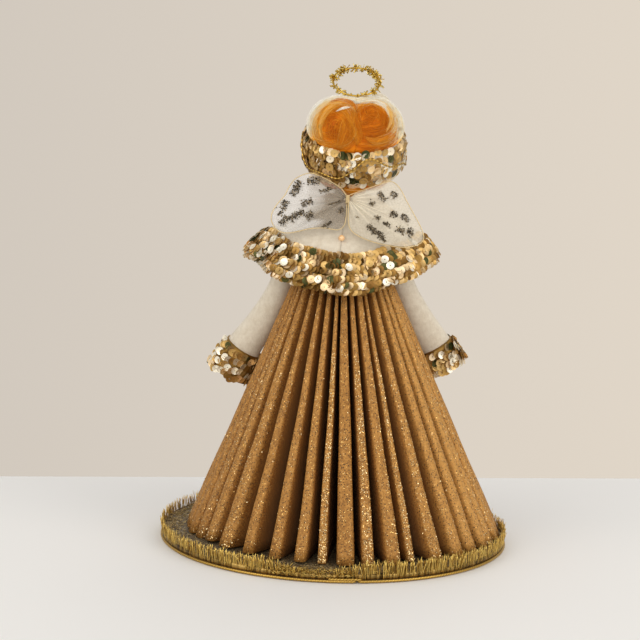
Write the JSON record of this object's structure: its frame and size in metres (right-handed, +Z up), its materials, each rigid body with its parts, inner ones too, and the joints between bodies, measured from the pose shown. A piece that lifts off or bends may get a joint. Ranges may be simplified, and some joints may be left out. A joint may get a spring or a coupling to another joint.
{
  "type": "glitter cone angel figure",
  "caption": "Standing holiday angel: pleated gilt paper cone skirt on a round fringed base, felt cape and wired sleeves, sequin trims, fibre hair, tinsel halo and wired net wings.",
  "frame": {"origin": "centre of the round base's underside, on the surface it stands on", "axes": "+Z up; the figure faces +Y, so its back is toward -Y, and its own left arm is on -X"},
  "size_m": [0.2582, 0.2583, 0.3539],
  "materials": {
    "dark_felt": "thin dark brown felt",
    "card": "grey-brown laminated card",
    "lurex_cloth": "looped grey-gold metallic cloth with loose glitter",
    "gold_fringe": "short gold metallic strands",
    "gold_cord": "thin twisted gold metallic cord",
    "gilt_paper": "folded leaves sprayed matt gold, mottled, with glitter",
    "paper": "plain magazine cover stock",
    "wood": "unfinished dowel",
    "foam": "craft foam",
    "felt": "soft ivory felt",
    "sequin": "cupped metallic gold sequins on net",
    "pearl": "peach pearl bead",
    "pin_wire": "craft wire",
    "doll_skin": "painted foam, satin",
    "fibre_hair": "combed fibre, orange with pale strands",
    "tinsel": "gold tinsel",
    "wing_net": "sheer white nylon net with dark glitter",
    "wing_wire": "thin pale gold wire"
  },
  "bodies": {
    "figure": {"base_backing": "dark_felt", "base_board": "card", "base_cloth": "lurex_cloth", "base_fringe": "gold_fringe", "base_cord": "gold_cord", "skirt_section_01": "gilt_paper", "skirt_section_02": "gilt_paper", "skirt_section_03": "gilt_paper", "skirt_section_04": "gilt_paper", "skirt_section_05": "gilt_paper", "skirt_section_06": "gilt_paper", "skirt_section_07": "gilt_paper", "skirt_section_08": "gilt_paper", "skirt_section_09": "gilt_paper", "skirt_section_10": "gilt_paper", "skirt_section_11": "gilt_paper", "skirt_section_12": "gilt_paper", "skirt_section_13": "gilt_paper", "skirt_section_14": "gilt_paper", "skirt_section_15": "gilt_paper", "skirt_cover_roll": "paper", "support_post": "wood", "body_foam": "foam", "bodice": "felt", "neck": "felt", "cape": "felt", "cape_sequin_trim": "sequin", "pearl_button": "pearl", "pearl_pin": "pin_wire", "shoulder_wire": "pin_wire", "head": "doll_skin", "hair_left": "fibre_hair", "hair_right": "fibre_hair", "hair_curl": "fibre_hair", "hair_nape": "fibre_hair", "headband": "sequin", "headband_braid": "gold_cord", "halo_stem": "pin_wire", "wing_tie": "wing_wire", "wing_pin": "pin_wire"},
    "left_arm": {"left_sleeve": "felt", "left_cuff_trim": "sequin", "left_arm_wire": "pin_wire"},
    "right_arm": {"right_sleeve": "felt", "right_cuff_trim": "sequin", "right_arm_wire": "pin_wire"},
    "left_wing": {"left_wing_net": "wing_net", "left_wing_wire": "wing_wire"},
    "right_wing": {"right_wing_net": "wing_net", "right_wing_wire": "wing_wire"},
    "halo": {"halo_ring": "tinsel"}
  },
  "joints": [
    {"name": "left_arm_swing", "type": "hinge", "parent": "figure", "child": "left_arm", "pos_m": [-0.034, 0.0062, 0.221], "axis": [1, 0, 0], "range_deg": [0, 25]},
    {"name": "right_arm_swing", "type": "hinge", "parent": "figure", "child": "right_arm", "pos_m": [0.034, 0.0062, 0.221], "axis": [1, 0, 0], "range_deg": [0, 20]},
    {"name": "left_wing_fold", "type": "hinge", "parent": "figure", "child": "left_wing", "pos_m": [0.0025, -0.035, 0.252], "axis": [0, 0.4104, 0.9119], "range_deg": [0, 25]},
    {"name": "right_wing_fold", "type": "hinge", "parent": "figure", "child": "right_wing", "pos_m": [0.0025, -0.035, 0.252], "axis": [0, -0.4104, -0.9119], "range_deg": [0, 25]},
    {"name": "halo_tilt", "type": "hinge", "parent": "figure", "child": "halo", "pos_m": [0.0068, -0.0117, 0.3279], "axis": [1, 0, 0], "range_deg": [-15, 15]}
  ]
}
